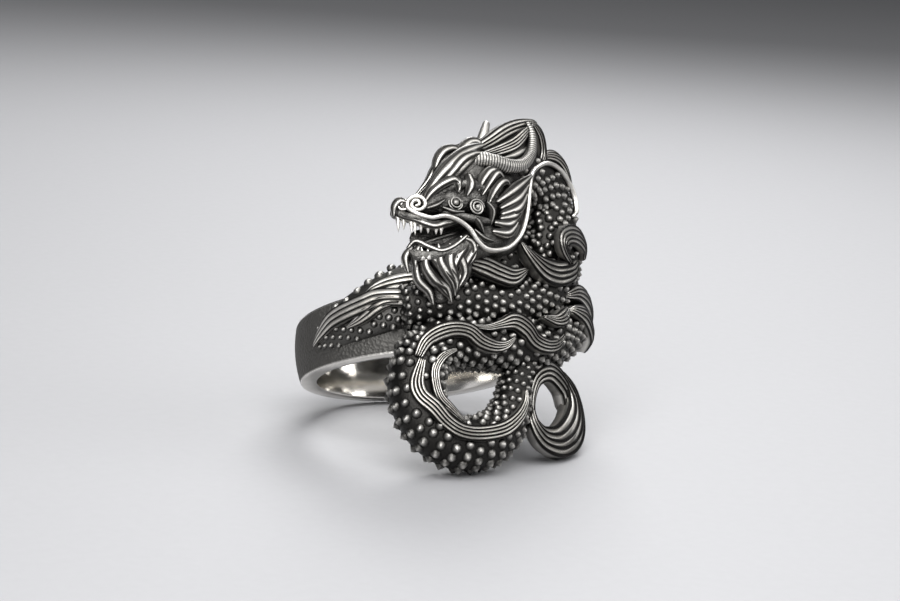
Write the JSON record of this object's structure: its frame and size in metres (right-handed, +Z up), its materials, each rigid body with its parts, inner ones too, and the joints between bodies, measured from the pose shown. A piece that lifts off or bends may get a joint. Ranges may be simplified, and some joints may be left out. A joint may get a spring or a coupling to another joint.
{
  "type": "dragon ring",
  "caption": "Sculpted silver finger ring: a maned dragon's head rears up from its own studded, coiled body, with a looped tail below the tapering band.",
  "frame": {"origin": "under the middle of the ring's extents, on the surface that it lies on", "axes": "+Z up from the surface the ring rests on; the finger hole's axis leans steeply up and to the front, and the dragon's head, loop and tail spread along -Y"},
  "size_m": [0.0298, 0.0306, 0.0312],
  "materials": {
    "oxidised_silver": "cast sterling silver, darkened in the recesses and polished bright on the raised edges and inside the band"
  },
  "bodies": {
    "root": {"dragon_ring": "oxidised_silver"}
  },
  "joints": []
}
